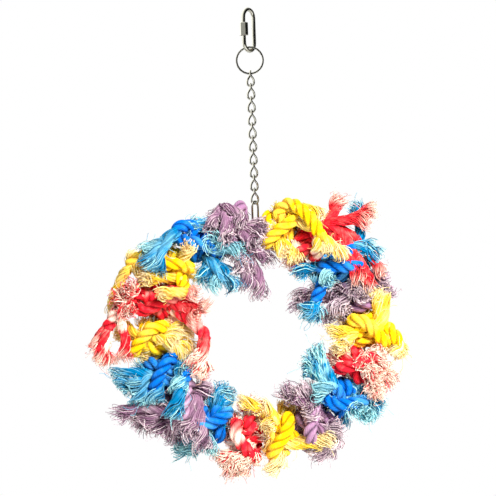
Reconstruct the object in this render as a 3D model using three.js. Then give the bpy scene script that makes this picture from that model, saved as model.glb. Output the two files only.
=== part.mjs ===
// A hanging rope ring for pet birds: a steel hoop wrapped in knotted, frayed cotton ropes,
// carried by a twisted-link chain, a split ring and a screw quick link.
// Millimetres, +Z up, +X to the right, +Y away from the viewer.
// The origin is the inside top of the quick link, the point that hangs on a cage bar.
import * as THREE from 'three';

// Driving dimensions
const clearance = 0.3; // air kept between pieces that bear on each other

const quickWire = 3.5;
const quickInnerWidth = 10;
const quickInnerLength = 31;
const quickTurn = 52; // degrees about Z, from the hoop's plane
const quickOpening = 3.2; // free gap once the sleeve is screwed back
const sleeveLength = 11;
const sleeveAcrossFlats = 6.4;
const sleeveChamfer = 0.4;
const sleeveTop = -9.5;
const threadEngaged = 1.8; // upper thread inside the closed sleeve

const splitInnerRadius = 10.2;
const splitRadial = 1.5;
const splitAxial = 1.1;
const splitCorner = 0.2; // taken off the flat wire's edges
const splitTurnGap = 0.45;
const splitCrossover = 22; // half angle of the step between the two turns, degrees

const chainCount = 10;
const chainWire = 1.9;
const chainInnerWidth = 3.6;
const chainInnerLength = 11.1;
const chainTwist = 90; // degrees between a link's two bows

const hoopLinkWire = 1.9;
const hoopLinkInnerWidth = 7.5;
const hoopLinkInnerLength = 21;
const hoopLinkTurn = 60; // degrees about Z, from the hoop's plane

const hoopWire = 4;

const ropeDiameter = 9.1;
const ropeGap = 0.6; // air between neighbouring strands of a knot
const frayRadius = 8;
const frayEndRadius = 6.5;
const frayTip = 6; // from a tip to the fray's widest place
const frayLength = 18; // from a tip to where the rope is whole again
const ropeSeat = 0.7; // air between a knot's turns and the hoop
const knotSpread = 1; // a knot's turns lie this many lays to either side of its middle
const linkGap = 9; // free inner edge of the hoop for the chain's lowest link
const knotGap = 0.6; // free inner edge of the hoop between neighbouring knots

// Fineness of the swept solids
const wireSides = 8;
const thinWireSides = 6;
const ropeSides = 6;
const ropeSteps = 41;
const hoopSteps = 72;
const splitSteps = 52;
const quickBowSteps = 10;
const chainSteps = 6;
const hoopLinkSteps = 8;
const gapSamples = 4; // points to a step when a rope's gap to itself is measured

// Colours
const steel = { color: 0xb9bcc0, roughness: 0.25, metalness: 1 };
const cotton = {
  yellow: { color: 0xf6cf22, roughness: 0.95, metalness: 0 },
  red: { color: 0xdf3440, roughness: 0.95, metalness: 0 },
  blue: { color: 0x1f86d2, roughness: 0.95, metalness: 0 },
  mauve: { color: 0x9f7aa0, roughness: 0.95, metalness: 0 },
};

// Ropes clockwise from the chain. roll turns the knot about the hoop's wire, degrees from facing front,
// and hand -1 ties it the other way round. ends are the route of each end from the knot to its frayed tip,
// as [out from the hoop's wire, along the hoop, towards the front].
const ropes = [
  {
    name: 'rope_yellow_1', dye: 'yellow', roll: 10, hand: -1,
    ends: [[[20, 4, 17], [15, 18, 27], [5, 34, 30], [0, 47, 27]], [[-22, 5, 14], [-28, 30, 15]]],
  },
  {
    name: 'rope_red_1', dye: 'red', roll: -15, hand: 1,
    ends: [[[30, 8, 9], [46, 22, 6]], [[-28, -6, -7]]],
  },
  {
    name: 'rope_blue_1', dye: 'blue', roll: 12, hand: -1,
    ends: [[[28, 4, 8], [34, 16, 10]], [[-24, 6, 14], [-42, 30, 12]]],
  },
  {
    name: 'rope_mauve_1', dye: 'mauve', roll: 185, hand: -1,
    ends: [[[-26, -8, -11], [-46, -36, -8]], [[28, -2, -10]]],
  },
  {
    name: 'rope_yellow_2', dye: 'yellow', roll: -20, hand: -1,
    ends: [[[24, 4, 10], [36, 17, 6]], [[-36, 7, 14]]],
  },
  {
    name: 'rope_red_2', dye: 'red', roll: 15, hand: 1,
    ends: [[[36, 8, 10]], [[-36, -3, 1]]],
  },
  {
    name: 'rope_blue_2', dye: 'blue', roll: -25, hand: 1,
    ends: [[[38, 4, 8]], [[-26, -6, 12], [-50, -20, 10]]],
  },
  {
    name: 'rope_mauve_2', dye: 'mauve', roll: 12, hand: -1,
    ends: [[[38, 2, 2]], [[-24, 6, 12], [-42, 22, 8]]],
  },
  {
    name: 'rope_yellow_3', dye: 'yellow', roll: -8, hand: -1,
    ends: [[[35, 12, 8]], [[-24, 12, 15], [-28, 48, 16]]],
  },
  {
    name: 'rope_red_3', dye: 'red', roll: -25, hand: 1,
    ends: [[[35, 8, 10]], [[-26, 0, -8]]],
  },
  {
    name: 'rope_blue_3', dye: 'blue', roll: 10, hand: -1,
    ends: [[[32, -5, 10]], [[-32, -1, -5]]],
  },
  {
    name: 'rope_mauve_3', dye: 'mauve', roll: 8, hand: 1,
    ends: [[[30, 8, 10], [50, 17, 6]], [[-34, -3, 7]]],
  },
  {
    name: 'rope_blue_4', dye: 'blue', roll: -5, hand: 1,
    ends: [[[28, 2, 12], [46, 0, 8]], [[-18, -9, 18], [0, -24, 29.5], [16, -33, 26]]],
  },
  {
    name: 'rope_yellow_4', dye: 'yellow', roll: -30, hand: 1,
    ends: [[[32, 4, -8]], [[-38, -8, 3]]],
  },
  {
    name: 'rope_red_4', dye: 'red', roll: 8, hand: 1,
    ends: [
      [[26, -6, 14], [40, -26, 12], [53, -37, 8]],
      [[-26, -8, 15], [-42, -30, 22], [-40, -54, 23]],
    ],
  },
  {
    name: 'rope_yellow_5', dye: 'yellow', roll: -20, hand: 1,
    ends: [[[28, -6, 8], [46, -36, -4]], [[-17, -11, 19], [-4, -28, 34]]],
  },
  {
    name: 'rope_blue_5', dye: 'blue', roll: 0, hand: 1,
    ends: [[[20, -4, 17], [16, -20, 26], [10, -36, 30]], [[-22, 0, 16], [-48, -8, 16]]],
  },
  {
    name: 'rope_mauve_4', dye: 'mauve', roll: -15, hand: -1,
    ends: [[[20, -5, 16], [12, -16, 25]], [[-30, 6, 4], [-60, 20, 0]]],
  },
];

const radians = THREE.MathUtils.degToRad;
const vector = (x, y, z) => new THREE.Vector3(x, y, z);

// Sweeps
// Tangents and turning-free normals along a list of points. A closed list gets its leftover twist
// shared out over its length, so that the last ring meets the first.
function framesAlong(points, closed, firstNormal) {
  const count = points.length;
  const at = (i) => points[closed ? (i + count) % count : THREE.MathUtils.clamp(i, 0, count - 1)];
  const tangents = points.map((_, i) => at(i + 1).clone().sub(at(i - 1)).normalize());
  const normals = [];
  const carry = (normal, tangent) => {
    return normal.clone().addScaledVector(tangent, -normal.dot(tangent)).normalize();
  };
  tangents.forEach((tangent, i) => normals.push(carry(i ? normals[i - 1] : firstNormal, tangent)));
  if (closed) {
    const last = carry(normals[count - 1], tangents[0]);
    const turn = Math.atan2(tangents[0].dot(last.clone().cross(normals[0])), last.dot(normals[0]));
    normals.forEach((normal, i) => normal.applyAxisAngle(tangents[i], (turn * i) / count));
  }
  return { tangents, normals };
}

// A solid whose section, a list of [normal, binormal] pairs, is carried along the points.
function sweep(points, section, { closed = false, firstNormal = vector(0, 1, 0), scales = null } = {}) {
  const { tangents, normals } = framesAlong(points, closed, firstNormal);
  const sides = section.length;
  const positions = [];
  points.forEach((point, i) => {
    const binormal = tangents[i].clone().cross(normals[i]);
    const scale = scales ? scales[i] : 1;
    section.forEach(([a, b]) => {
      const corner = point.clone().addScaledVector(normals[i], a * scale);
      corner.addScaledVector(binormal, b * scale);
      positions.push(corner.x, corner.y, corner.z);
    });
  });
  const triangles = [];
  const rings = points.length;
  for (let i = 0; i < (closed ? rings : rings - 1); i += 1) {
    const here = i * sides;
    const next = ((i + 1) % rings) * sides;
    for (let j = 0; j < sides; j += 1) {
      const k = (j + 1) % sides;
      triangles.push(here + j, here + k, next + k, here + j, next + k, next + j);
    }
  }
  if (!closed) {
    const end = (rings - 1) * sides;
    for (let j = 1; j < sides - 1; j += 1) {
      triangles.push(0, j + 1, j, end, end + j, end + j + 1);
    }
  }
  const geometry = new THREE.BufferGeometry();
  geometry.setAttribute('position', new THREE.Float32BufferAttribute(positions, 3));
  geometry.setIndex(triangles);
  geometry.computeVertexNormals();
  return geometry;
}

function circleSection(radius, sides) {
  return Array.from({ length: sides }, (_, j) => {
    const angle = (2 * Math.PI * j) / sides;
    return [radius * Math.cos(angle), radius * Math.sin(angle)];
  });
}

// A flat wire's section: a rectangle with its corners taken off.
function flatWireSection(radial, axial, corner) {
  const a = radial / 2;
  const b = axial / 2;
  return [
    [a, corner - b], [a, b - corner], [a - corner, b], [corner - a, b],
    [-a, b - corner], [-a, corner - b], [corner - a, -b], [a - corner, -b],
  ];
}

// Distance along a list of points, for each of them.
function distancesAlong(points) {
  let travelled = 0;
  return points.map((point, i) => {
    travelled += i ? point.distanceTo(points[i - 1]) : 0;
    return travelled;
  });
}

// Least free distance between stretches of one tube that lie well apart along it.
function leastSelfGap(points, radii) {
  const wellApart = 1.7; // in sums of the two radii
  const along = distancesAlong(points);
  let least = Infinity;
  points.forEach((a, i) => points.slice(0, i).forEach((b, j) => {
    const reach = radii[i] + radii[j];
    if (along[i] - along[j] > wellApart * reach) {
      least = Math.min(least, a.distanceTo(b) - reach);
    }
  }));
  return least;
}

function part(name, geometry, look) {
  const mesh = new THREE.Mesh(geometry, new THREE.MeshStandardMaterial(look));
  mesh.name = name;
  return mesh;
}

// Wire links
// Centreline of an oval link, clockwise from its left leg, with the inside of its top bow at the origin.
// twistAt gives the turn about Z at a share of the way down between the bows.
function linkRoute(wire, innerWidth, innerLength, bowSteps, legSteps, twistAt) {
  const bow = (innerWidth + wire) / 2;
  const topBow = wire / 2 - bow;
  const lowBow = bow - wire / 2 - innerLength;
  const place = (side, z) => {
    const turn = twistAt(THREE.MathUtils.clamp((topBow - z) / (topBow - lowBow), 0, 1));
    return vector(side * Math.cos(turn), side * Math.sin(turn), z);
  };
  const points = [];
  for (let i = 0; i < bowSteps; i += 1) {
    const angle = Math.PI * (1 - i / bowSteps);
    points.push(place(bow * Math.cos(angle), topBow + bow * Math.sin(angle)));
  }
  for (let i = 0; i < legSteps; i += 1) {
    points.push(place(bow, THREE.MathUtils.lerp(topBow, lowBow, i / legSteps)));
  }
  for (let i = 0; i < bowSteps; i += 1) {
    const angle = (Math.PI * i) / bowSteps;
    points.push(place(bow * Math.cos(angle), lowBow - bow * Math.sin(angle)));
  }
  for (let i = 0; i < legSteps; i += 1) {
    points.push(place(-bow, THREE.MathUtils.lerp(lowBow, topBow, i / legSteps)));
  }
  return points;
}

// How far one piece is held off a round bow when it is wider than a point there.
function bowRise(bowInnerRadius, halfWidth) {
  return bowInnerRadius - Math.sqrt(bowInnerRadius ** 2 - halfWidth ** 2);
}

// Levels down the chain, each the inside of a bow or ring
const splitHalfWidth = splitAxial + splitTurnGap / 2;
const quickLow = -quickInnerLength;
const splitSlant = splitHalfWidth / Math.sin(radians(quickTurn)); // half width across the quick link's bow
const splitHigh = quickLow + clearance + bowRise(quickInnerWidth / 2, splitSlant);
const splitLow = splitHigh - 2 * splitInnerRadius;
const chainHigh = splitLow + clearance + bowRise(chainInnerWidth / 2, splitHalfWidth);
const chainPitch = chainInnerLength - clearance;
const chainLow = chainHigh - chainPitch * (chainCount - 1) - chainInnerLength;
const hoopLinkHigh = chainLow + clearance;
const hoopLinkLow = hoopLinkHigh - hoopLinkInnerLength;
const hoopTop = hoopLinkLow + clearance + hoopWire / 2;

// Knot sizes: strands lie a lay apart. A knot's two turns are a span apart along the hoop's wire, and
// neighbouring knots meet inside the hoop, where there is least room. The hoop is just large enough:
// the spans, taken at its wire, and the rest, taken at its inner circle, add up to one turn.
const lay = ropeDiameter + ropeGap;
const wrapRadius = hoopWire / 2 + ropeSeat + ropeDiameter / 2;
const knotSpan = 2 * knotSpread * lay;
const spanTotal = ropes.length * knotSpan;
const innerTotal = ropes.length * ropeDiameter + (ropes.length - 1) * knotGap + linkGap;
const roomTotal = 2 * Math.PI * wrapRadius + spanTotal + innerTotal;
const roomRoot = Math.sqrt(roomTotal ** 2 - 8 * Math.PI * spanTotal * wrapRadius);
const hoopRadius = (roomTotal + roomRoot) / (4 * Math.PI);
const innerCircle = hoopRadius - wrapRadius;

// Quick link: a round wire bent to an open oval, its gap closed by a screwed sleeve
function quickLinkBody() {
  const bow = (quickInnerWidth + quickWire) / 2;
  const upperTip = sleeveTop - threadEngaged;
  const lowerTip = upperTip - quickOpening;
  const topBow = quickWire / 2 - bow;
  const lowBow = bow - quickWire / 2 - quickInnerLength;
  const points = [vector(-bow, 0, upperTip)];
  for (let i = 0; i <= quickBowSteps; i += 1) {
    const angle = Math.PI * (1 - i / quickBowSteps);
    points.push(vector(bow * Math.cos(angle), 0, topBow + bow * Math.sin(angle)));
  }
  for (let i = 0; i <= quickBowSteps; i += 1) {
    const angle = (Math.PI * i) / quickBowSteps;
    points.push(vector(bow * Math.cos(angle), 0, lowBow - bow * Math.sin(angle)));
  }
  points.push(vector(-bow, 0, lowerTip));
  return part('quick_link_body', sweep(points, circleSection(quickWire / 2, wireSides)), steel);
}

function quickLinkSleeve() {
  const bow = (quickInnerWidth + quickWire) / 2;
  const corner = sleeveAcrossFlats / Math.sqrt(3);
  const outline = new THREE.Shape();
  for (let i = 0; i < 6; i += 1) {
    const angle = (Math.PI * i) / 3;
    const method = i ? 'lineTo' : 'moveTo';
    outline[method](corner * Math.cos(angle), corner * Math.sin(angle));
  }
  outline.closePath();
  const bore = new THREE.Path();
  bore.absarc(0, 0, quickWire / 2 + clearance, 0, 2 * Math.PI, true);
  outline.holes.push(bore);
  const geometry = new THREE.ExtrudeGeometry(outline, {
    depth: sleeveLength - 2 * sleeveChamfer,
    curveSegments: 12,
    bevelThickness: sleeveChamfer,
    bevelSize: sleeveChamfer,
    bevelOffset: -sleeveChamfer,
    bevelSegments: 1,
  });
  const sleeve = part('quick_link_sleeve', geometry, steel);
  sleeve.position.set(-bow, 0, sleeveTop - sleeveLength + sleeveChamfer);
  return sleeve;
}

// Split ring: one flat wire wound twice, stepping over to its second turn
function splitRing() {
  const middle = splitInnerRadius + splitRadial / 2;
  const pitch = splitAxial + splitTurnGap;
  const step = radians(splitCrossover);
  const tipGap = splitTurnGap / middle;
  const first = step + tipGap;
  const last = 4 * Math.PI - step - tipGap;
  const points = Array.from({ length: splitSteps + 1 }, (_, i) => {
    const angle = THREE.MathUtils.lerp(first, last, i / splitSteps);
    const crossed = THREE.MathUtils.smoothstep(angle, 2 * Math.PI - step, 2 * Math.PI + step);
    return vector(middle * Math.cos(angle), pitch * (crossed - 0.5), middle * Math.sin(angle));
  });
  const section = flatWireSection(splitRadial, splitAxial, splitCorner);
  const firstNormal = vector(Math.cos(first), 0, Math.sin(first));
  const ring = part('split_ring', sweep(points, section, { firstNormal }), steel);
  ring.position.z = splitHigh - splitInnerRadius;
  const axialGap = leastSelfGap(points, points.map(() => splitAxial / 2));
  console.log(`split_ring least gap to itself ${axialGap.toFixed(2)} mm`);
  return ring;
}

function chainLink(index) {
  const ease = (share) => THREE.MathUtils.smoothstep(share, 0, 1);
  const twistAt = (share) => radians(chainTwist) * (ease(share) - 1);
  const points = linkRoute(chainWire, chainInnerWidth, chainInnerLength, chainSteps, chainSteps, twistAt);
  const geometry = sweep(points, circleSection(chainWire / 2, thinWireSides), { closed: true });
  const link = part(`chain_link_${String(index + 1).padStart(2, '0')}`, geometry, steel);
  link.position.z = chainHigh - chainPitch * index;
  return link;
}

function hoopLink() {
  const legSteps = 2;
  const untwisted = () => 0;
  const points = linkRoute(
    hoopLinkWire, hoopLinkInnerWidth, hoopLinkInnerLength, hoopLinkSteps, legSteps, untwisted,
  );
  const geometry = sweep(points, circleSection(hoopLinkWire / 2, thinWireSides), { closed: true });
  const link = part('hoop_link', geometry, steel);
  link.rotation.z = radians(hoopLinkTurn);
  link.position.z = hoopLinkHigh;
  return link;
}

function hoop() {
  const points = Array.from({ length: hoopSteps }, (_, i) => {
    const angle = (2 * Math.PI * i) / hoopSteps;
    return vector(hoopRadius * Math.sin(angle), 0, hoopRadius * Math.cos(angle));
  });
  return part('hoop', sweep(points, circleSection(hoopWire / 2, wireSides), { closed: true }), steel);
}

// Ropes
// A knot's route in its own frame: X along the hoop, -Y to the front, Z out from the hoop's centre.
// It is a clove hitch: a turn round the wire, a diagonal over both ends, and a second turn.
// The second half is the first one turned half round about the front axis.
function knotRoute() {
  const turn = (degrees, lift, along) => {
    const radius = wrapRadius + lift * lay;
    return vector(along * lay, -radius * Math.cos(radians(degrees)), radius * Math.sin(radians(degrees)));
  };
  const half = [
    vector(0.31 * lay, -wrapRadius - 0.19 * lay, 1.37 * lay),
    vector(0, -wrapRadius - 0.16 * lay, 0.84 * lay),
    turn(0, 0, -0.65),
    turn(-45, 0, -1),
    turn(-90, 0, -0.97 * knotSpread),
    turn(-135, 0, -knotSpread),
    turn(-180, 0, -knotSpread),
    turn(-225, 0, -knotSpread),
    turn(-270, 0.1, -0.975 * knotSpread),
    turn(-305, 1, -0.94),
    turn(-332, 1.22, -0.8),
  ];
  const otherHalf = half.map((point) => vector(-point.x, point.y, -point.z)).reverse();
  return [...half, turn(0, 1.17, 0), ...otherHalf];
}

function ropeRoute({ roll, hand, ends }) {
  const place = ([out, along, front]) => vector(along, -front, out);
  const knot = knotRoute().map((point) => {
    point.x *= hand;
    return point.applyAxisAngle(vector(1, 0, 0), radians(roll));
  });
  const tails = ends.map((points) => points.map(place));
  const exits = [knot[0], knot[knot.length - 1]];
  tails.forEach((tail, i) => {
    if (tail.length === 1) {
      tail.unshift(tail[0].clone().lerp(exits[i], 0.5));
    }
  });
  return [...tails[0].reverse(), ...knot, ...tails[1]].map(bentRoundHoop);
}

// A point of a straight knot's frame, bent round the hoop with the knot at its top.
function bentRoundHoop({ x, y, z }) {
  const angle = x / hoopRadius;
  return vector((hoopRadius + z) * Math.sin(angle), y, (hoopRadius + z) * Math.cos(angle));
}

// A rope's radius at each of its points: a frayed end swells out of the rope and closes in at its tip.
function ropeRadii(points) {
  const along = distancesAlong(points);
  const length = along[along.length - 1];
  return along.map((distance) => {
    const fromTip = Math.min(distance, length - distance);
    if (fromTip < frayTip) {
      return THREE.MathUtils.lerp(frayEndRadius, frayRadius, fromTip / frayTip);
    }
    const share = Math.min((fromTip - frayTip) / (frayLength - frayTip), 1);
    return THREE.MathUtils.lerp(frayRadius, ropeDiameter / 2, share);
  });
}

function rope(row) {
  const curve = new THREE.CatmullRomCurve3(ropeRoute(row), false, 'centripetal');
  const samples = curve.getPoints(ropeSteps * gapSamples);
  const gap = leastSelfGap(samples, ropeRadii(samples));
  console.log(`${row.name} ${curve.getLength().toFixed(0)} mm, least gap to itself ${gap.toFixed(2)} mm`);
  const points = curve.getPoints(ropeSteps);
  const geometry = sweep(points, circleSection(1, ropeSides), { scales: ropeRadii(points) });
  return part(row.name, geometry, cotton[row.dye]);
}

// Wreath: the hoop and its ropes, about the hoop's centre
function wreath() {
  const group = new THREE.Group();
  group.position.z = hoopTop - hoopRadius;
  group.add(hoop());
  let angle = (linkGap + ropeDiameter) / innerCircle / 2 + knotSpan / hoopRadius / 2;
  ropes.forEach((row) => {
    const mesh = rope(row);
    mesh.rotation.y = angle;
    group.add(mesh);
    angle += knotSpan / hoopRadius + (ropeDiameter + knotGap) / innerCircle;
  });
  return group;
}

const quickLink = new THREE.Group();
quickLink.rotation.z = radians(quickTurn);
quickLink.add(quickLinkBody(), quickLinkSleeve());

const ropeRing = new THREE.Group();
ropeRing.add(quickLink, splitRing());
for (let index = 0; index < chainCount; index += 1) {
  ropeRing.add(chainLink(index));
}
ropeRing.add(hoopLink(), wreath());

export default ropeRing;
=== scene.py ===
"""Dresses the hanging rope ring: laid cotton ropes with frayed ends, and plated steel.
It also sets up the studio's light and the camera."""
import math
import bpy
import numpy as np
from mathutils import Matrix, Vector, kdtree


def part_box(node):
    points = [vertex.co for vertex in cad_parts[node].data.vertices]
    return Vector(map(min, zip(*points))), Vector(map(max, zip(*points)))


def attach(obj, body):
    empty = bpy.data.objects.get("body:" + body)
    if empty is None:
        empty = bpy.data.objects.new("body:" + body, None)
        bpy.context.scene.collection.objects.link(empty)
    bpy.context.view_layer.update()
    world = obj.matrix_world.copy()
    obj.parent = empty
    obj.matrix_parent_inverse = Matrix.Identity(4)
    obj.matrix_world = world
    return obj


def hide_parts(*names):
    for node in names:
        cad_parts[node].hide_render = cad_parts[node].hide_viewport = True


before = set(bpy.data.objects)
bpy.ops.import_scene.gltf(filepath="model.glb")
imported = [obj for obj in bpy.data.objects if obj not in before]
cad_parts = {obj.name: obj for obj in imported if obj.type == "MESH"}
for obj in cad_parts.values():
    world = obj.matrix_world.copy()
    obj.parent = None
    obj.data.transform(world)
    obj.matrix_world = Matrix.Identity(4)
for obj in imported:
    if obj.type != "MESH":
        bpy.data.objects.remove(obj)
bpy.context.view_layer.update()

MM = 0.001
WREATH = "wreath"

# Sizes in millimetres, as in the model
HOOP_WIRE = 4.0
ROPE = 9.1
ROPE_GAP = 0.6  # air between two turns of a knot
WIRE_GAP = 0.7  # air between a knot and the hoop's wire
LAY = ROPE + ROPE_GAP
WRAP = HOOP_WIRE / 2 + WIRE_GAP + ROPE / 2
KNOT_SPAN = 2 * LAY
LINK_GAP = 9.0  # free inner edge of the hoop for the chain's lowest link
KNOT_GAP = 0.6  # free inner edge of the hoop between two knots

# The dressed rope is full size; where two lengths meet they press flat
DRESSED = 10.8
LAID_STEP = 0.9  # between the points of its line
LAID_SIDES = 36  # points round it
STRAND_TURN = 27.0  # length of one turn of the rope's lay
YARN_LINES = 18  # yarns that show round a laid rope
PRESS_REACH = 1.08  # thicknesses within which two lengths can touch
SAME_BEND = 15.0  # two places of a rope that are nearer along it don't press on each other
PRESS_GAP = 0.04  # air between two lengths that press on each other
PRESS_LEAST = 0.3  # the thinnest that a length is pressed, from its centre
DYE_PATCH = 14.0  # length over which the dye changes along a laid rope
RED_BAND = 9.0  # the same for red, which took the dye in bands

# Loose ends
STRAND = 3.9  # radius of a loose strand
STRAND_STEP = 1.5  # between the points of its line
STRAND_ASIDE = 2.4  # from the rope's centre to where a strand starts
STRAND_ANGLE = 2.1  # between the starts of two strands round the rope, in radians
STRAND_PATCH = 11.0  # length over which the dye changes along a strand
FLECK = 5.0  # the same for a fluffy strand
CORE = 0.9  # share of a strand's radius that is solid
CORE_SIDES = 10
YARN = 0.55  # radius of a loose yarn
YARN_SIDES = 4
YARN_TURN = 48.0  # length of one turn of the yarns in a strand
YARNS = 62  # loose yarns to a strand
BRUSH = (15, 21)  # least and greatest length of the brush at a strand's tip
STRAY = 0.2  # radius of a stray fibre
STRAY_STEP = 1.2
STRAYS = 9  # fibres that stand off a strand
FILLERS = 6  # strands of a rope that stick out of its knot, besides those listed
FIRST_SEED = 700  # for the first rope's random numbers

# How sparse the flecks of dye are on a fluffy strand
SPARSE = 1.15
SOME = 1.0
MANY = 0.6


def to(x, z, front, leave=None, **look):
    """A loose strand's tip, from the hoop's centre, with how far before the rope's tip it leaves the rope.
    Its look can be fluffy, plain (fully dyed), faded, or a fan of a width of its own."""
    return dict(tip=(x, -front, z), leave=leave, **look)


def end(unlaid, route, *strands):
    """One end of a rope: how much of it is unlaid, its route out of the knot, and its loose strands.
    The route's points are (out from the hoop's wire, along the hoop, towards the front)."""
    return dict(unlaid=unlaid, route=route, strands=strands)


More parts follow.
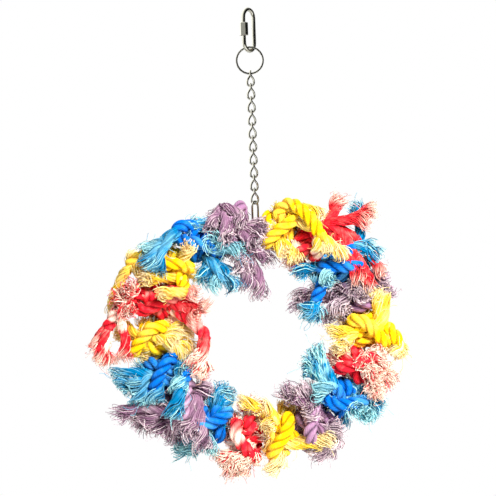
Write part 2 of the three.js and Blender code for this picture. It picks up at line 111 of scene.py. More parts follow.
# Ropes clockwise from the chain: name, roll and hand of the knot, and its two ends
ROPES = [
    ("rope_yellow_1", 10, -1,
     end(15, [(20, 4, 17), (15, 18, 27), (5, 34, 30), (0, 47, 27)],
         to(51, 61, 30), to(69, 57, 28), to(59, 60, 31), to(57, 89, 24, leave=58)),
     end(36, [(-22, 5, 14), (-28, 30, 15)],
         to(33, 53, 18), to(24, 61, 21), to(14, 65, 8))),
    ("rope_red_1", -15, 1,
     end(40, [(30, 8, 9), (46, 22, 6)],
         to(71, 107, 2, plain=1), to(102, 94, 6, plain=1), to(97, 86, 14, plain=1),
         to(106, 41, 14, leave=46, plain=1), to(87, 35, 24, leave=46, plain=1),
         to(95, 29, 18, leave=46, plain=1)),
     end(14, [(-28, -6, -7)],
         to(31, 50, -4), to(25, 56, -8), to(35, 47, -7))),
    ("rope_blue_1", 12, -1,
     end(30, [(28, 4, 8), (34, 16, 10)],
         to(82, 104, -2), to(101, 56, 10), to(95, 63, 7)),
     end(8, [(-24, 6, 14), (-42, 30, 12)],
         to(42, 6, 14), to(35, 11, 13), to(48, 9, 12),
         to(30, 42, 15, leave=52), to(56, 38, 24, leave=52, faded=1))),
    ("rope_mauve_1", 185, -1,
     end(34, [(-26, -8, -11), (-46, -36, -8)],
         to(29, 25, -2), to(39, 32, 4), to(34, 22, -6),
         to(55, 5, 8, leave=46, faded=1), to(64, 10, 12, leave=46, faded=1),
         to(70, 16, 14, leave=44, faded=1),
         to(84, 24, 19, leave=52, faded=1), to(77, 32, 19, leave=50, faded=1)),
     end(24, [(28, -2, -10)],
         to(108, 38, -4), to(112, 28, -8), to(105, 46, -2))),
    ("rope_yellow_2", -20, -1,
     end(13, [(24, 4, 10), (36, 17, 6)],
         to(119, -22, 8), to(111, -27, 9), to(117, -28, 5),
         to(104, 30, 8, leave=44), to(97, 33, 15, leave=44)),
     end(26, [(-36, 7, 14)],
         to(59, -18, 19), to(54, -6, 17), to(66, -15, 22))),
    ("rope_red_2", 15, 1,
     end(40, [(36, 8, 10)],
         to(90, -54, 20, fluffy=SPARSE), to(101, -58, 9, fluffy=SPARSE), to(86, -28, 26, fluffy=SPARSE),
         to(105, -38, 15, fluffy=SPARSE), to(96, -44, 24, fluffy=SPARSE), to(113, -46, 4, fluffy=SPARSE),
         to(103, -20, 18, fluffy=SPARSE), to(94, -62, 16, fluffy=SPARSE)),
     end(24, [(-36, -3, 1)],
         to(56, -23, 7), to(51, -30, 2), to(58, -32, 9))),
    ("rope_blue_2", -25, 1,
     end(36, [(38, 4, 8)],
         to(93, -79, 10, faded=1), to(76, -70, 22, faded=1), to(85, -72, 15, faded=1), to(101, -70, 5)),
     end(40, [(-26, -6, 12), (-50, -20, 10)],
         to(43, -12, 9, fluffy=SOME), to(33, -29, 13, fluffy=SOME), to(40, -54, 27, faded=1),
         to(36, -21, 6))),
    ("rope_mauve_2", 12, -1,
     end(34, [(38, 2, 2)],
         to(43, -110, 2, faded=1), to(60, -100, 7, faded=1), to(68, -82, 17, faded=1),
         to(52, -107, -3, faded=1)),
     end(50, [(-24, 6, 12), (-42, 22, 8)],
         to(15, -45, 11), to(27, -46, 17, faded=1), to(39, -66, 25, faded=1), to(20, -52, 19))),
    ("rope_yellow_3", -8, -1,
     end(42, [(35, 12, 8)],
         to(4, -119, 9, faded=1), to(60, -92, 17, leave=40, faded=1), to(11, -113, 11, faded=1),
         to(52, -96, 12, leave=40)),
     end(40, [(-24, 12, 15), (-28, 48, 16)],
         to(-21, -57, 15), to(-4, -61, 21), to(1, -81, 29))),
    ("rope_red_3", -25, 1,
     end(36, [(35, 8, 10)],
         to(-27, -122, 9, fluffy=SPARSE), to(-40, -107, 13, fluffy=SPARSE), to(-9, -112, 15, fluffy=SPARSE),
         to(-18, -120, 4, fluffy=SPARSE), to(-31, -111, 20, fluffy=SPARSE), to(-23, -116, 22, fluffy=SPARSE),
         to(0, -83, 8, leave=34, plain=1), to(-29, -81, 8, leave=34, plain=1)),
     end(16, [(-26, 0, -8)],
         to(-8, -59, -7), to(-14, -61, -11), to(-3, -63, -8))),
    ("rope_blue_3", 10, -1,
     end(36, [(32, -5, 10)],
         to(-44, -100, 17, faded=1), to(-50, -87, 22, faded=1),
         to(-77, -98, -2, faded=1), to(-64, -102, 5, faded=1)),
     end(18, [(-32, -1, -5)],
         to(-28, -51, -4), to(-34, -49, -9), to(-24, -55, -6))),
    ("rope_mauve_3", 8, 1,
     end(46, [(30, 8, 10), (50, 17, 6)],
         to(-119, -66, 9), to(-101, -77, 13), to(-76, -91, 3), to(-110, -72, 4),
         to(-88, -82, 16, leave=56), to(-82, -62, 16, leave=62)),
     end(26, [(-34, -3, 7)],
         to(-57, -88, 30), to(-67, -80, 27), to(-49, -94, 27))),
    ("rope_blue_4", -5, 1,
     end(40, [(28, 2, 12), (46, 0, 8)],
         to(-123, -35, 9), to(-120, -44, 13), to(-112, -47, 18), to(-102, -59, 19),
         to(-86, -56, 23, leave=50)),
     end(34, [(-18, -9, 18), (0, -24, 29.5), (16, -33, 26)],
         to(-74, -71, 32), to(-67, -48, 31, leave=50, faded=1), to(-71, -66, 27),
         to(-62, -33, 22, leave=56))),
    ("rope_yellow_4", -30, 1,
     end(20, [(32, 4, -8)],
         to(-118, 8, -8), to(-122, 2, -6), to(-116, -4, -9), to(-95, 16, -1, leave=32)),
     end(36, [(-38, -8, 3)],
         to(-60, -20, 10), to(-62, -3, 16), to(-51, -14, 8), to(-67, -10, 20),
         to(-50, 1, 10), to(-54, 10, 4))),
    ("rope_red_4", 8, 1,
     end(24, [(26, -6, 14), (40, -26, 12), (53, -37, 8)],
         to(-134, -22, 8), to(-126, -26, 9), to(-138, -15, 6), to(-112, -22, 13, leave=52),
         to(-114, 40, 18, leave=54, fluffy=MANY), to(-105, 16, 27, leave=54, fluffy=MANY),
         to(-119, 24, 21, leave=54, fluffy=MANY), to(-103, 42, 27, leave=54, fluffy=MANY),
         to(-96, 27, 2, leave=54, plain=1)),
     end(7, [(-26, -8, 15), (-42, -30, 22), (-40, -54, 23)],
         to(-51, -38, 22, fluffy=SOME, plain=1), to(-45, -34, 20, fluffy=SOME, plain=1),
         to(-56, -29, 23, fluffy=SOME, plain=1),
         to(-50, 12, 26, leave=62, plain=1), to(-40, 23, 22, leave=66, plain=1),
         to(-47, 34, 21, leave=74, plain=1))),
    ("rope_yellow_5", -20, 1,
     end(34, [(28, -6, 8), (46, -36, -4)],
         to(-101, 65, 0), to(-120, 16, -6), to(-91, 50, 15)),
     end(24, [(-17, -11, 19), (-4, -28, 34)],
         to(-81, 31, 38), to(-53, 72, 28, leave=44), to(-95, 45, 29, leave=42))),
    ("rope_blue_5", 0, 1,
     end(34, [(20, -4, 17), (16, -20, 26), (10, -36, 30)],
         to(-94, 66, 20, faded=1), to(-91, 54, 25), to(-82, 49, 27), to(-54, 87, 13, leave=48)),
     end(36, [(-22, 0, 16), (-48, -8, 16)],
         to(-18, 29, 17), to(-44, 39, 21), to(-30, 36, 15, faded=1), to(-21, 46, 14),
         to(-10, 65, 28, leave=48, faded=1), to(-36, 73, 28, leave=48, faded=1))),
    ("rope_mauve_4", -15, -1,
     end(24, [(20, -5, 16), (12, -16, 25)],
         to(-37, 83, 20, fan=10), to(-18, 96, 18, fan=9), to(-9, 86, 25, fan=9), to(-24, 77, 29, fan=10)),
     end(60, [(-30, 6, 4), (-60, 20, 0)],
         to(3, 23, 5), to(-5, 36, 12), to(11, 54, 14), to(-15, 54, 23), to(-11, 44, 15),
         to(8, 81, 23), to(-1, 68, 28), to(4, 88, 12, fan=7))),
]


def srgb(red, green, blue):
    """A colour as it shows on a screen, 0 to 255, as the linear numbers that nodes take."""
    parts = [c / 255 for c in (red, green, blue)]
    return tuple(p / 12.92 if p <= 0.04045 else ((p + 0.055) / 1.055) ** 2.4 for p in parts) + (1.0,)


# Routes
def knot_route():
    """A clove hitch in its own frame: X along the hoop, -Y to the front, Z out from the hoop's centre."""
    def turn(degrees, lift, along):
        radius = WRAP + lift * LAY
        angle = math.radians(degrees)
        return (along * LAY, -radius * math.cos(angle), radius * math.sin(angle))
    half = [
        (0.31 * LAY, -WRAP - 0.19 * LAY, 1.37 * LAY),
        (0, -WRAP - 0.16 * LAY, 0.84 * LAY),
        turn(0, 0, -0.65),
        turn(-45, 0, -1),
        turn(-90, 0, -0.97),
        turn(-135, 0, -1),
        turn(-180, 0, -1),
        turn(-225, 0, -1),
        turn(-270, 0.1, -0.975),
        turn(-305, 1, -0.94),
        turn(-332, 1.22, -0.8),
    ]
    other = [(-x, y, -z) for x, y, z in reversed(half)]
    return np.array(half + [turn(0, 1.17, 0)] + other)


def rope_route(roll, hand, ends):
    """Points from the tip of the first end, through the knot, to the tip of the second."""
    knot = knot_route() * (hand, 1, 1)
    angle = math.radians(roll)
    y = knot[:, 1] * math.cos(angle) - knot[:, 2] * math.sin(angle)
    z = knot[:, 1] * math.sin(angle) + knot[:, 2] * math.cos(angle)
    knot = np.stack([knot[:, 0], y, z], 1)
    tails = []
    for each, leaves in zip(ends, (knot[0], knot[-1])):
        points = [np.array((along, -front, out), float) for out, along, front in each["route"]]
        if len(points) == 1:
            points.insert(0, (points[0] + leaves) / 2)
        tails.append(points)
    return np.array(tails[0][::-1] + list(knot) + tails[1])


def smooth_curve(points, per_segment=24):
    """Centripetal Catmull-Rom curve through the points."""
    padded = np.vstack([2 * points[0] - points[1], points, 2 * points[-1] - points[-2]])
    t = np.linspace(0, 1, per_segment, endpoint=False)[:, None]
    runs = []
    for p0, p1, p2, p3 in zip(padded, padded[1:], padded[2:], padded[3:]):
        d0, d1, d2 = (math.sqrt(np.linalg.norm(b - a)) for a, b in ((p0, p1), (p1, p2), (p2, p3)))
        m1 = ((p1 - p0) / d0 - (p2 - p0) / (d0 + d1) + (p2 - p1) / d1) * d1
        m2 = ((p2 - p1) / d1 - (p3 - p1) / (d1 + d2) + (p3 - p2) / d2) * d1
        square = 3 * (p2 - p1) - 2 * m1 - m2
        cube = 2 * (p1 - p2) + m1 + m2
        runs.append(p1 + m1 * t + square * t ** 2 + cube * t ** 3)
    return np.vstack(runs + [points[-1:]])


def evenly(points, step):
    """The same line with points at equal distances, and its length."""
    along = np.concatenate([[0], np.cumsum(np.linalg.norm(np.diff(points, axis=0), axis=1))])
    count = max(8, round(along[-1] / step))
    stops = np.linspace(0, along[-1], count + 1)
    return np.stack([np.interp(stops, along, points[:, k]) for k in range(3)], 1), along[-1]


def frames_along(points):
    """Tangents, normals and binormals that don't turn about the line."""
    tangents = np.gradient(points, axis=0)
    tangents /= np.linalg.norm(tangents, axis=1)[:, None]
    normals = np.empty_like(points)
    normal = np.array((0.31, 0.87, 0.38))
    for i, tangent in enumerate(tangents):
        normal = normal - tangent * normal.dot(tangent)
        normal /= np.linalg.norm(normal)
        normals[i] = normal
    return tangents, normals, np.cross(tangents, normals)


low, high = (np.array(corner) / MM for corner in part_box("hoop"))
HOOP_CENTRE = (low + high) / 2
HOOP_RADIUS = (high[0] - low[0] - HOOP_WIRE) / 2
INNER_CIRCLE = HOOP_RADIUS - WRAP


def seated(points, angle):
    """Points in a straight knot's frame, bent round the hoop at an angle clockwise from its top."""
    turn = angle + points[:, 0] / HOOP_RADIUS
    out = points[:, 2] + HOOP_RADIUS
    return np.stack([out * np.sin(turn), points[:, 1], out * np.cos(turn)], 1) + HOOP_CENTRE


# Meshes
def mesh_object(name, points, faces, values, uv=None):
    """A smooth mesh of quads from arrays in millimetres. values are numbers for each point, by name."""
    mesh = bpy.data.meshes.new(name)
    mesh.vertices.add(len(points))
    mesh.vertices.foreach_set("co", (points * MM).astype(np.float32).ravel())
    corners = faces.ravel()
    mesh.loops.add(len(corners))
    mesh.loops.foreach_set("vertex_index", corners.astype(np.int32))
    mesh.polygons.add(len(faces))
    mesh.polygons.foreach_set("loop_start", np.arange(0, len(corners), 4, dtype=np.int32))
    mesh.polygons.foreach_set("use_smooth", np.ones(len(faces), bool))
    for key, numbers in values.items():
        mesh.attributes.new(key, "FLOAT", "POINT").data.foreach_set("value", numbers.astype(np.float32))
    if uv is not None:
        layer = mesh.uv_layers.new(name="Lay")
        layer.data.foreach_set("uv", uv[corners].astype(np.float32).ravel())
    mesh.update(calc_edges=True)
    mesh.validate()
    piece = bpy.data.objects.new(name, mesh)
    bpy.context.scene.collection.objects.link(piece)
    return piece


def tube_faces(rings, sides):
    """Quads of a closed tube of rings by sides points, ring by ring. sides is even."""
    i, j = np.meshgrid(np.arange(rings - 1), np.arange(sides), indexing="ij")
    k = (j + 1) % sides
    wall = np.stack([i * sides + j, i * sides + k, (i + 1) * sides + k, (i + 1) * sides + j], -1)
    row = np.arange(sides // 2 - 1)
    cap = np.stack([row, row + 1, sides - 2 - row, sides - 1 - row], -1)
    return np.concatenate([wall.reshape(-1, 4), cap[:, ::-1], cap + (rings - 1) * sides])


def patches(rng, along, length):
    """A soft random number from 0 to 1 along a rope, in patches of about a length."""
    count = int(along.max() / length) + 3
    knots = rng.random(count)
    place = along / length
    low_index = np.floor(place).astype(int)
    share = place - low_index
    share = share * share * (3 - 2 * share)
    return knots[low_index] * (1 - share) + knots[low_index + 1] * share


def dye_levels(dye, rng, along):
    """How much dye a rope took along its length: red came out in bands, and the rest nearly even."""
    level = patches(rng, along, DYE_PATCH)
    if dye == "red":
        return np.clip((patches(rng, along, RED_BAND) - 0.05) * 5, 0, 1)
    if dye == "blue":
        return np.clip(0.66 + level * 0.6, 0, 1)
    return np.clip(0.75 + level * 0.4, 0, 1)


def lobed(angles):
    """Radius of a three-strand rope's section, by the angle from a strand, as a share of its radius."""
    third = 2 * math.pi / 3
    from_strand = (angles + third / 2) % third - third / 2
    centre, strand = 0.45, 0.57
    return centre * np.cos(from_strand) + np.sqrt(strand ** 2 - (centre * np.sin(from_strand)) ** 2)


class Rope:
    """One rope's line, its frames and what its two ends do."""

    def __init__(self, index, row, angle):
        self.name, roll, hand, *self.ends = row
        self.angle = angle
        self.dye = self.name.split("_")[1]
        self.rng = np.random.default_rng(FIRST_SEED + index)
        route = seated(rope_route(roll, hand, self.ends), angle)
        self.line, self.length = evenly(smooth_curve(route), LAID_STEP)
        _, self.normals, self.binormals = frames_along(self.line)
        self.along = np.linspace(0, self.length, len(self.line))
        self.twist = self.along * (2 * math.pi / STRAND_TURN) + self.rng.random() * 6
        self.dyes = dye_levels(self.dye, self.rng, self.along)
        first, second = (each["unlaid"] for each in self.ends)
        self.laid = np.flatnonzero((self.along >= first) & (self.along <= self.length - second))


def pressed(rings, centres, rope_index, ropes, tree, owners):
    """Rings of points round their centres, flattened where another length of rope lies against them."""
    rope = ropes[rope_index]
    reach = DRESSED * PRESS_REACH
    for ring, (i, centre) in zip(rings, centres):
        for spot, k, distance in tree.find_range(Vector(centre), reach):
            owner, other = owners[k]
            apart = abs(rope.along[i] - ropes[owner].along[other])
            if owner == rope_index and apart < SAME_BEND:
                continue
            towards = (np.array(spot) - centre) / distance
            arms = ring - centre
            out = arms @ towards
            limit = distance / 2 - PRESS_GAP
            over = out > limit
            ring[over] = centre + arms[over] * (max(limit, PRESS_LEAST) / out[over])[:, None]
    return rings


def laid_mesh(rope_index, ropes, tree, owners):
    """The laid length of a rope: three strands twisted together, as one tube with their grooves."""
    rope = ropes[rope_index]
    groove_radius, groove_depth = 0.63, 0.3
    spin = np.linspace(0, 2 * math.pi, LAID_SIDES, endpoint=False)
    rings, centres, uv, dye, groove = [], [], [], [], []
    first, last = rope.laid[0], rope.laid[-1]
    for i in rope.laid:
        shape = lobed(spin - rope.twist[i])
        # Both tips round off over three rings
        from_end = min(i - first, last - i)
        closing = min(1.0, 0.55 + 0.15 * from_end)
        radius = shape * DRESSED / 2 * closing
        ring = rope.line[i] + radius[:, None] * (
            np.cos(spin)[:, None] * rope.normals[i] + np.sin(spin)[:, None] * rope.binormals[i])
        rings.append(ring)
        centres.append((i, rope.line[i]))
        uv.append(np.stack([spin / (2 * math.pi), np.full(LAID_SIDES, rope.along[i] / 10)], 1))
        dye.append(np.full(LAID_SIDES, rope.dyes[i]))
        # Painted shade: the colour darkens towards the grooves between the three strands
        groove.append((shape - groove_radius) / groove_depth)
    rings = pressed(np.array(rings), centres, rope_index, ropes, tree, owners)
    values = {"dye": np.concatenate(dye), "painted_shade_and_tone": np.clip(np.concatenate(groove), 0, 1)}
    faces = tube_faces(len(rings), LAID_SIDES)
    return mesh_object(rope.name + "_laid", rings.reshape(-1, 3), faces, values, np.concatenate(uv))


# By dye: how far loose strands wander from their line, how wide their tips fan out, the share of their yarns
# that is pale, and how far from the tip the dye is faded
CURLS = {"yellow": 0.9, "red": 1.3, "blue": 1.4, "mauve": 2.4}
FANS = {"yellow": 8.5, "red": 9.5, "blue": 10.5, "mauve": 10.5}
PALES = {"yellow": (0.15, 12.0), "red": (0.22, 12.0), "blue": (0.16, 8.0), "mauve": (0.3, 9.0)}


def strand_line(rope, which, number, strand):
    """The line of a loose strand, from inside the end of the laid rope to its tip."""
    rng = rope.rng
    line = rope.line if which else rope.line[::-1]
    side = rope.normals if which else rope.normals[::-1]
    over = rope.binormals if which else rope.binormals[::-1]
    leave = strand["leave"] or rope.ends[which]["unlaid"]
    start = len(line) - 1 - round(leave / rope.length * (len(line) - 1))
    away = line[start + 2] - line[start - 2]
    away /= np.linalg.norm(away)
    angle = number * STRAND_ANGLE + rope.twist[0]
    begin = line[start - 4] + STRAND_ASIDE * (math.cos(angle) * side[start] + math.sin(angle) * over[start])
    tip = HOOP_CENTRE + np.array(strand["tip"], float)
    reach = np.linalg.norm(tip - begin)
    aim = (tip - begin) / reach
    arrive = aim * 0.8 + np.array((0, 0, -0.3)) + rng.normal(size=3) * (0.25, 0.1, 0.25)
    t = np.linspace(0, 1, max(14, round(reach / 1.4)))[:, None]
    points = (begin * (2 * t ** 3 - 3 * t ** 2 + 1) + away * reach * (t ** 3 - 2 * t ** 2 + t)
              + tip * (3 * t ** 2 - 2 * t ** 3) + arrive * reach * (t ** 3 - t ** 2))
    for cycles in (1.0, 2.2):
        sway = rng.normal(size=3) * CURLS[rope.dye] / cycles
        points = points + sway * np.sin(t * cycles * 2 * math.pi + rng.uniform(0, 6)) * t
    return evenly(points, STRAND_STEP)[0]


def tube(line, thick, dye, painted_shade_and_tone, sides=YARN_SIDES, across=None):
    """A tube along a line. Its thickness, dye and painted shade are numbers for each of its points."""
    if across is None:
        tangents = np.gradient(line, axis=0)
        tangents /= np.linalg.norm(tangents, axis=1)[:, None]
        aside = np.cross(tangents, (0.23, 0.71, 0.66))
        aside /= np.linalg.norm(aside, axis=1)[:, None]
        across = aside, np.cross(tangents, aside)
    spin = np.linspace(0, 2 * math.pi, sides, endpoint=False)
    arms = (np.cos(spin)[None, :, None] * across[0][:, None, :]
            + np.sin(spin)[None, :, None] * across[1][:, None, :])
    points = line[:, None, :] + thick[:, None, None] * arms
    return dict(points=points.reshape(-1, 3), faces=tube_faces(len(line), sides),
                dye=np.repeat(dye, sides), painted_shade_and_tone=np.repeat(painted_shade_and_tone, sides))


def strand_tubes(rope, which, number, strand):
    """One loose strand: a core, the yarns round it that spread into a brush, and stray fibres."""
    rng = rope.rng
    centre = strand_line(rope, which, number, strand)
    tangents, normals, binormals = frames_along(centre)
    count = len(centre)
    share = np.linspace(0, 1, count)
    fluffy = strand.get("fluffy", 0)
    length = STRAND_STEP * (count - 1)
    from_tip = (1 - share) * length
    brush = min(rng.uniform(*BRUSH), 0.8 * length)
    flare = np.clip(1 - from_tip / brush, 0, 1) ** 1.2
    fan = strand.get("fan", FANS[rope.dye]) * rng.uniform(0.85, 1.15)
    onset = np.clip(0.5 + share * length / 12, 0, 1)
    radii = STRAND * onset + flare * (fan - STRAND)
    wave = (0.5 + CURLS[rope.dye] * 0.45) * (2.0 if fluffy else 1.0)
    bands = patches(rng, from_tip[::-1].copy(), STRAND_PATCH)[::-1]
    core = STRAND * CORE * onset * np.clip((from_tip / brush - 0.4) / 0.4, 0.08, 1)
    dye = strand_dye(rope.dye, rng, bands, from_tip, strand, 0)
    # The core gets a fixed share of painted shade
    tubes = [tube(centre, core, dye, np.full(count, 0.75), CORE_SIDES, (normals, binormals))]
    golden = math.pi * (3 - math.sqrt(5))
    for j in range(YARNS):
        place = math.sqrt((j + 0.5) / YARNS)
        angle = j * golden + share * length * (2 * math.pi / YARN_TURN)
        arm = (radii * place * rng.uniform(0.85, 1.12))[:, None] * (
            np.cos(angle)[:, None] * normals + np.sin(angle)[:, None] * binormals)
        arm[:, 1] *= 1 - 0.35 * flare
        line = centre + arm
        growth = wave * (0.08 + share ** 2)
        for axis in (normals, binormals):
            for cycles in (1.3, 3.1, 5.3):
                sway = rng.normal() * 0.6 / cycles ** 0.6
                phase = rng.uniform(0, 2 * math.pi)
                line = line + (growth * sway * np.sin(share * cycles * 2 * math.pi + phase))[:, None] * axis
        if fluffy:
            curl = rng.uniform(1.2, 2.6) * np.clip(1 - from_tip / 16, 0, 1)
            turn = from_tip * rng.uniform(0.35, 0.7) + rng.uniform(0, 6)
            line = (line + (curl * np.cos(turn))[:, None] * normals
                    + (curl * np.sin(turn))[:, None] * binormals)
        dye = strand_dye(rope.dye, rng, np.roll(bands, rng.integers(-1, 2)), from_tip, strand, 1)
        # Painted shade: yarns nearer the strand's middle are darker, and each yarn's lightness also differs
        # at random
        painted_shade_and_tone = np.clip(0.1 + 0.7 * place + rng.normal() * (0.28 + 0.06 * flare), 0, 1)
        thick = YARN * rng.uniform(0.8, 1.15) * (1 - 0.6 * share ** 2)
        inside = place < CORE - 0.12
        begin = min(np.flatnonzero(from_tip < brush + 2)[0], count - 8) if inside else 0
        if inside:
            thick[begin:begin + 4] *= np.array((0.1, 0.35, 0.6, 0.85))
        stop = max(begin + 5, int(count * rng.uniform(0.9, 1.0)))
        tubes.append(tube(line[begin:stop], thick[begin:stop], dye[begin:stop], painted_shade_and_tone[begin:stop]))
    for _ in range(STRAYS):
        points = stray_fibre(rng, centre, tangents, count)
        even = np.ones(len(points))
        # Stray fibres get a fixed, light share of painted shade
        tubes.append(tube(points, STRAY * even, rng.uniform(0.1, 0.8) * even, 0.8 * even))
    return tubes


def filler_strands(rope):
    """Short strands that stick out round a knot, and two that cross behind it and cover the hoop, each with
    the end that it belongs to."""
    rng = rope.rng
    fillers = []
    for number in range(FILLERS):
        which = number % 2
        each = rope.ends[which]
        outward = math.copysign(1, each["route"][0][0])
        highest = 20 - 6 * max(0, math.cos(rope.angle)) if outward > 0 else 24
        along = rng.choice((-1, 1)) * rng.uniform(5, 16)
        place = np.array([(along, -rng.uniform(-10, 4), outward * rng.uniform(11, highest))])
        tip = seated(place, rope.angle)[0] - HOOP_CENTRE
        fillers.append((which, to(tip[0], tip[2], -tip[1], leave=each["unlaid"] + rng.uniform(8, 30))))
    for which, each in enumerate(rope.ends):
        outward = math.copysign(1, each["route"][0][0])
        place = np.array([(rng.uniform(-3, 3), 11, -outward * rng.uniform(5, 10))])
        tip = seated(place, rope.angle)[0] - HOOP_CENTRE
        fillers.append((which, to(tip[0], tip[2], -tip[1], leave=tail_length(rope, which))))
    return fillers


def tail_length(rope, which):
    """The length of one end of a rope, from its tip to its knot."""
    line = rope.line if which else rope.line[::-1]
    out = np.hypot(line[:, 0] - HOOP_CENTRE[0], line[:, 2] - HOOP_CENTRE[2]) - HOOP_RADIUS
    last = np.flatnonzero(np.hypot(out, line[:, 1] - HOOP_CENTRE[1]) < 2 * LAY)[-1]
    return rope.length * (1 - last / (len(line) - 1))


def strand_dye(dye, rng, bands, from_tip, strand, unlike):
    """How much dye a loose strand holds along its length.
    unlike is 1 for yarns, which differ near the tip, and 0 for the core."""
    share_pale, faded = PALES[dye]
    near_tip = np.clip(1.3 - from_tip / 20, 0.1, 1) * unlike
    fade = np.clip(from_tip / rng.uniform(0.4, 1.0) / faded, 0, 1)
    if dye == "red":
        level = np.clip((bands - 0.38) * 5 + rng.normal() * 0.3 * near_tip, 0, 1)
    else:
        level = np.clip(0.66 + bands * 0.6 + rng.normal() * 0.22 * near_tip, 0, 1)
    if rng.random() < share_pale:
        level = level * (1 - 0.9 * near_tip)
    level = level * (0.15 + 0.85 * fade)
    if strand.get("faded"):
        level = level * np.clip(0.2 + from_tip / 40, 0, 1)
    if strand.get("plain"):
        level = np.maximum(level, 0.95 * np.clip(from_tip / 7 - 0.6, 0, 1))
    if strand.get("fluffy"):
        spots = patches(rng, from_tip[::-1].copy(), FLECK)[::-1]
        flecks = np.clip((spots - 0.62 * strand["fluffy"]) * 7, 0, 1)
        level = flecks + (level - flecks) * np.clip(from_tip / 14 - 1.2, 0, 1)
    return level


def stray_fibre(rng, centre, tangents, count):
    """A thin curly fibre that stands off a strand."""
    begin = rng.integers(count // 3, count - 1)
    way = tangents[begin] * 0.5 + rng.normal(size=3) * 0.7
    way /= np.linalg.norm(way)
    axis = rng.normal(size=3) * 0.22
    spot = centre[begin] + way * STRAND * 0.6
    points = [spot]
    for _ in range(rng.integers(7, 13)):
        way = way + np.cross(axis, way) + rng.normal(size=3) * 0.08
        way /= np.linalg.norm(way)
        spot = spot + way * STRAY_STEP
        points.append(spot)
    return np.array(points)


def loose_mesh(name, tubes):
    """Tubes as one mesh."""
    starts = np.cumsum([0] + [len(each["points"]) for each in tubes])
    faces = np.concatenate([each["faces"] + start for each, start in zip(tubes, starts)])
    points, dye, painted_shade_and_tone = (np.concatenate([each[key] for each in tubes]) for key in ("points", "dye", "painted_shade_and_tone"))
    return mesh_object(name, points, faces, {"dye": dye, "painted_shade_and_tone": painted_shade_and_tone})


# Materials
def node_material(name):
    material = bpy.data.materials.new(name)
    material.use_nodes = True
    tree = material.node_tree
    return material, tree, tree.nodes["Principled BSDF"]


def add(tree, kind, **settings):
    """A node with its properties and, by input name or number, its values or links."""
    made = tree.nodes.new(kind)
    inputs = settings.pop("inputs", {})
    for key, value in settings.items():
        setattr(made, key, value)
    for key, value in inputs.items():
        if isinstance(value, bpy.types.NodeSocket):
            tree.links.new(value, made.inputs[key])
        else:
            made.inputs[key].default_value = value
    return made


def cotton(name, dyed, dyed_in_shade, pale, beige, laid):
    """Dyed cotton. The mesh says how much dye each point holds and how much painted shade it gets."""
    material, tree, shader = node_material(name)
    dye = add(tree, "ShaderNodeAttribute", attribute_name="dye").outputs["Fac"]
    painted_shade_and_tone = add(tree, "ShaderNodeAttribute", attribute_name="painted_shade_and_tone").outputs["Fac"]
    place = add(tree, "ShaderNodeTexCoord").outputs["Object"]
    mottle = add(tree, "ShaderNodeTexNoise", inputs={"Vector": place, "Scale": 170.0, "Detail": 3.0})
    uneven = add(tree, "ShaderNodeMath", operation="MULTIPLY_ADD",
                 inputs={0: mottle.outputs["Fac"], 1: 0.5, 2: -0.25}).outputs[0]
    taken = add(tree, "ShaderNodeMath", operation="ADD", use_clamp=True,
                inputs={0: dye, 1: uneven}).outputs[0]
    fibre = add(tree, "ShaderNodeTexNoise", inputs={"Vector": place, "Scale": 1500.0, "Detail": 2.0})
    height = fibre.outputs["Fac"]
    if laid:
        uv = add(tree, "ShaderNodeUVMap", uv_map="Lay").outputs[0]
        split = add(tree, "ShaderNodeSeparateXYZ", inputs={0: uv})
        slant = add(tree, "ShaderNodeMath", operation="MULTIPLY_ADD", inputs={
            0: split.outputs[0], 1: 2 * math.pi * YARN_LINES, 2: mottle.outputs["Fac"]}).outputs[0]
        ribs = add(tree, "ShaderNodeMath", operation="SINE", inputs={0: slant}).outputs[0]
        height = add(tree, "ShaderNodeMath", operation="MULTIPLY_ADD",
                     inputs={0: ribs, 1: 0.5, 2: height}).outputs[0]
        # The yarn lines also raise and lower the painted shade a little, as painted shade between the yarns
        painted_shade_and_tone = add(tree, "ShaderNodeMath", operation="MULTIPLY_ADD", use_clamp=True,
                   inputs={0: ribs, 1: 0.13, 2: painted_shade_and_tone}).outputs[0]
    # Painted shade: each colour runs from its shaded copy to its lit copy by the mesh's shade value
    body = add(tree, "ShaderNodeMix", data_type="RGBA", inputs={0: painted_shade_and_tone, 6: dyed_in_shade, 7: dyed}).outputs[2]
    undyed = add(tree, "ShaderNodeMix", data_type="RGBA", inputs={0: painted_shade_and_tone, 6: beige, 7: pale}).outputs[2]
    colour = add(tree, "ShaderNodeMix", data_type="RGBA", inputs={0: taken, 6: undyed, 7: body}).outputs[2]
    tree.links.new(colour, shader.inputs["Base Color"])
    shader.inputs["Sheen Weight"].default_value = 0.02
    shader.inputs["Sheen Roughness"].default_value = 0.5
    shader.inputs["Specular IOR Level"].default_value = 0.1
    rough = add(tree, "ShaderNodeMapRange",
                inputs={"Value": mottle.outputs["Fac"], "To Min": 0.8, "To Max": 1.0}).outputs[0]
    tree.links.new(rough, shader.inputs["Roughness"])
    bump = add(tree, "ShaderNodeBump", inputs={"Height": height, "Strength": 0.5, "Distance": 0.0004})
    tree.links.new(bump.outputs[0], shader.inputs["Normal"])
    return material


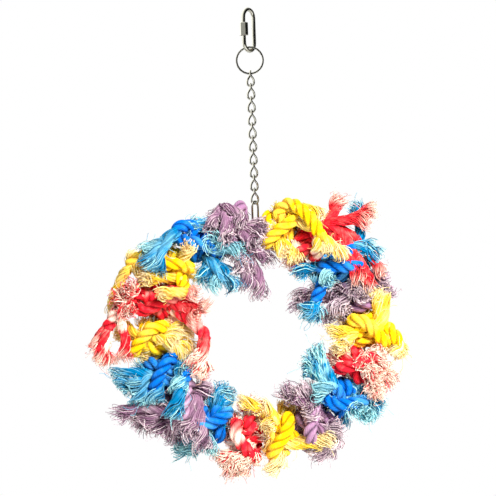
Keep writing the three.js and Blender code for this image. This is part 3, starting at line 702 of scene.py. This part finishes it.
def steel():
    """Bright plated steel with fine wear."""
    material, tree, shader = node_material("plated_steel")
    place = add(tree, "ShaderNodeTexCoord").outputs["Object"]
    cloud = add(tree, "ShaderNodeTexNoise", inputs={"Vector": place, "Scale": 90.0, "Detail": 3.0})
    colour = add(tree, "ShaderNodeMix", data_type="RGBA",
                 inputs={0: cloud.outputs["Fac"], 6: srgb(144, 143, 132), 7: srgb(182, 181, 170)}).outputs[2]
    tree.links.new(colour, shader.inputs["Base Color"])
    shader.inputs["Metallic"].default_value = 1.0
    rough = add(tree, "ShaderNodeMapRange",
                inputs={"Value": cloud.outputs["Fac"], "To Min": 0.14, "To Max": 0.26}).outputs[0]
    tree.links.new(rough, shader.inputs["Roughness"])
    bump = add(tree, "ShaderNodeBump",
               inputs={"Height": cloud.outputs["Fac"], "Strength": 0.04, "Distance": 0.0002})
    tree.links.new(bump.outputs[0], shader.inputs["Normal"])
    return material


# Dyed, dyed in painted shade, and undyed in painted light and in painted shade
LAID = {
    "yellow": (srgb(248, 206, 10), srgb(186, 108, 4), srgb(252, 234, 150), srgb(214, 160, 80)),
    "red": (srgb(240, 34, 50), srgb(122, 4, 14), srgb(255, 226, 206), srgb(206, 130, 118)),
    "blue": (srgb(4, 106, 204), srgb(0, 22, 80), srgb(120, 210, 232), srgb(30, 110, 160)),
    "mauve": (srgb(160, 116, 150), srgb(48, 26, 48), srgb(236, 208, 216), srgb(130, 98, 126)),
}
LOOSE = {
    "yellow": (srgb(248, 212, 58), srgb(196, 132, 20), srgb(255, 246, 206), srgb(226, 192, 136)),
    "red": (srgb(236, 38, 52), srgb(140, 10, 18), srgb(253, 232, 212), srgb(236, 186, 160)),
    "blue": (srgb(0, 136, 192), srgb(0, 18, 50), srgb(194, 246, 240), srgb(30, 124, 144)),
    "mauve": (srgb(156, 114, 142), srgb(26, 10, 24), srgb(246, 226, 226), srgb(112, 82, 104)),
}
laid_looks = {dye: cotton(f"{dye}_cotton", *shades, True) for dye, shades in LAID.items()}
loose_looks = {dye: cotton(f"{dye}_cotton_loose", *shades, False) for dye, shades in LOOSE.items()}
metal = steel()

# Ropes
ropes = []
angle = (LINK_GAP + ROPE) / INNER_CIRCLE / 2 + KNOT_SPAN / HOOP_RADIUS / 2
for index, row in enumerate(ROPES):
    ropes.append(Rope(index, row, angle))
    angle += KNOT_SPAN / HOOP_RADIUS + (ROPE + KNOT_GAP) / INNER_CIRCLE

owners = [(r, i) for r, rope in enumerate(ropes) for i in rope.laid]
tree = kdtree.KDTree(len(owners))
for k, (r, i) in enumerate(owners):
    tree.insert(Vector(ropes[r].line[i]), k)
tree.balance()

for index, rope in enumerate(ropes):
    body = laid_mesh(index, ropes, tree, owners)
    body.data.materials.append(laid_looks[rope.dye])
    tubes = []
    for which, each in enumerate(rope.ends):
        for number, strand in enumerate(each["strands"]):
            tubes += strand_tubes(rope, which, number, strand)
    for number, (which, strand) in enumerate(filler_strands(rope)):
        tubes += strand_tubes(rope, which, number, strand)
    loose = loose_mesh(rope.name + "_ends", tubes)
    loose.data.materials.append(loose_looks[rope.dye])
    for piece in (body, loose):
        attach(piece, WREATH)
    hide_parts(rope.name)


# Steel
def round_shading(mesh, widest=65):
    """Shades a faceted wire as a round one: normals are shared by faces that meet at less than an angle."""
    faces = [(tuple(polygon.vertices), polygon.normal.copy(), polygon.area) for polygon in mesh.polygons]
    at = {}
    for corners, normal, area in faces:
        for corner in corners:
            at.setdefault(mesh.vertices[corner].co.to_tuple(6), []).append((normal, area))
    normals = [Vector() for _ in mesh.vertices]
    for corners, normal, _ in faces:
        for corner in corners:
            for other, area in at[mesh.vertices[corner].co.to_tuple(6)]:
                if normal.angle(other, 0) < math.radians(widest):
                    normals[corner] += other * area
    mesh.polygons.foreach_set("use_smooth", np.ones(len(mesh.polygons), bool))
    mesh.normals_split_custom_set_from_vertices([normal.normalized() for normal in normals])


for name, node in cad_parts.items():
    if not name.startswith("rope_"):
        node.data.materials.clear()
        node.data.materials.append(metal)
        if name != "quick_link_sleeve":
            round_shading(node.data)

# Studio
FLOOR = -0.75


def floor():
    mesh = bpy.data.meshes.new("floor")
    half = 2.0
    corners = [(-half, -half, 0), (half, -half, 0), (half, half, 0), (-half, half, 0)]
    mesh.from_pydata(corners, [], [(0, 1, 2, 3)])
    piece = bpy.data.objects.new("floor", mesh)
    piece.location.z = FLOOR
    bpy.context.scene.collection.objects.link(piece)
    material, tree, shader = node_material("floor")
    place = add(tree, "ShaderNodeTexCoord").outputs["Object"]
    cloud = add(tree, "ShaderNodeTexNoise", inputs={"Vector": place, "Scale": 3.0})
    colour = add(tree, "ShaderNodeMix", data_type="RGBA",
                 inputs={0: cloud.outputs["Fac"], 6: srgb(236, 236, 235), 7: srgb(244, 244, 243)}).outputs[2]
    tree.links.new(colour, shader.inputs["Base Color"])
    shader.inputs["Roughness"].default_value = 0.9
    seen = add(tree, "ShaderNodeLightPath").outputs["Is Camera Ray"]
    away = add(tree, "ShaderNodeVectorMath", operation="LENGTH", inputs={0: place}).outputs["Value"]
    fade = add(tree, "ShaderNodeMapRange", interpolation_type="SMOOTHSTEP", inputs={
        "Value": away, "From Min": 0.3, "From Max": 1.9, "To Min": 0.5, "To Max": 1.0}).outputs[0]
    share = add(tree, "ShaderNodeMath", operation="MULTIPLY", inputs={0: seen, 1: fade}).outputs[0]
    glow = add(tree, "ShaderNodeEmission", inputs={"Color": (1, 1, 1, 1), "Strength": 1.0}).outputs[0]
    both = add(tree, "ShaderNodeMixShader", inputs={0: share, 1: shader.outputs[0], 2: glow}).outputs[0]
    tree.links.new(both, tree.nodes["Material Output"].inputs["Surface"])
    mesh.materials.append(material)


def area_light(name, place, aim, size, power):
    data = bpy.data.lights.new(name, "AREA")
    data.size = size
    data.energy = power
    lamp = bpy.data.objects.new(name, data)
    lamp.location = place
    lamp.rotation_euler = (Vector(aim) - Vector(place)).to_track_quat("-Z", "Y").to_euler()
    lamp.visible_glossy = False
    bpy.context.scene.collection.objects.link(lamp)


def sky():
    """White behind the object, a soft grey room that lights it, and another that shows in the steel."""
    world = bpy.data.worlds.new("studio")
    bpy.context.scene.world = world
    world.use_nodes = True
    tree = world.node_tree
    tree.nodes.clear()
    ray = add(tree, "ShaderNodeLightPath")
    white = add(tree, "ShaderNodeBackground", inputs={"Color": (1, 1, 1, 1), "Strength": 1.0})
    way = add(tree, "ShaderNodeTexCoord").outputs["Generated"]
    split = add(tree, "ShaderNodeSeparateXYZ", inputs={0: way})
    level = add(tree, "ShaderNodeMapRange", inputs={
        "Value": split.outputs[2], "From Min": -0.5, "From Max": 0.9, "To Min": 0.3, "To Max": 1.0})
    room = add(tree, "ShaderNodeBackground", inputs={"Color": level.outputs[0], "Strength": 0.1})
    facing = add(tree, "ShaderNodeVectorMath", operation="DOT_PRODUCT",
                 inputs={0: way, 1: (-0.85, 0.35, 0.4)})
    mirrored = add(tree, "ShaderNodeMapRange", inputs={
        "Value": facing.outputs["Value"], "From Min": -0.35, "From Max": 0.65,
        "To Min": 0.02, "To Max": 2.6})
    shown = add(tree, "ShaderNodeBackground", inputs={"Color": mirrored.outputs[0], "Strength": 1.0})
    indirect = add(tree, "ShaderNodeMixShader",
                   inputs={0: ray.outputs["Is Glossy Ray"], 1: room.outputs[0], 2: shown.outputs[0]})
    pick = add(tree, "ShaderNodeMixShader",
               inputs={0: ray.outputs["Is Camera Ray"], 1: indirect.outputs[0], 2: white.outputs[0]})
    out = add(tree, "ShaderNodeOutputWorld")
    tree.links.new(pick.outputs[0], out.inputs["Surface"])


floor()
sky()
middle = (-0.007, 0.0, -0.1955)
area_light("key", (0.6, -1.4, 0.6), middle, size=0.5, power=71)
area_light("fill", (-1.2, -1.0, 0.1), middle, size=1.0, power=2)
area_light("side", (1.6, 0.5, 0.2), middle, size=1.0, power=14)
area_light("back", (-0.5, 1.6, 0.4), middle, size=1.0, power=36)

# Camera: level, a little rolled, and far enough for a flat picture
distance = 1.8
seen_width = 0.410
roll = math.radians(2.05)
data = bpy.data.cameras.new("camera")
data.lens = data.sensor_width * distance / seen_width
camera = bpy.data.objects.new("camera", data)
right = Vector((math.cos(roll), 0, -math.sin(roll)))
up = Vector((math.sin(roll), 0, math.cos(roll)))
back = right.cross(up)
camera.matrix_world = Matrix((
    (right.x, up.x, back.x, middle[0]),
    (right.y, up.y, back.y, -distance),
    (right.z, up.z, back.z, middle[2]),
    (0, 0, 0, 1),
))
bpy.context.scene.collection.objects.link(camera)
bpy.context.scene.camera = camera
bpy.context.scene.view_settings.view_transform = "Standard"
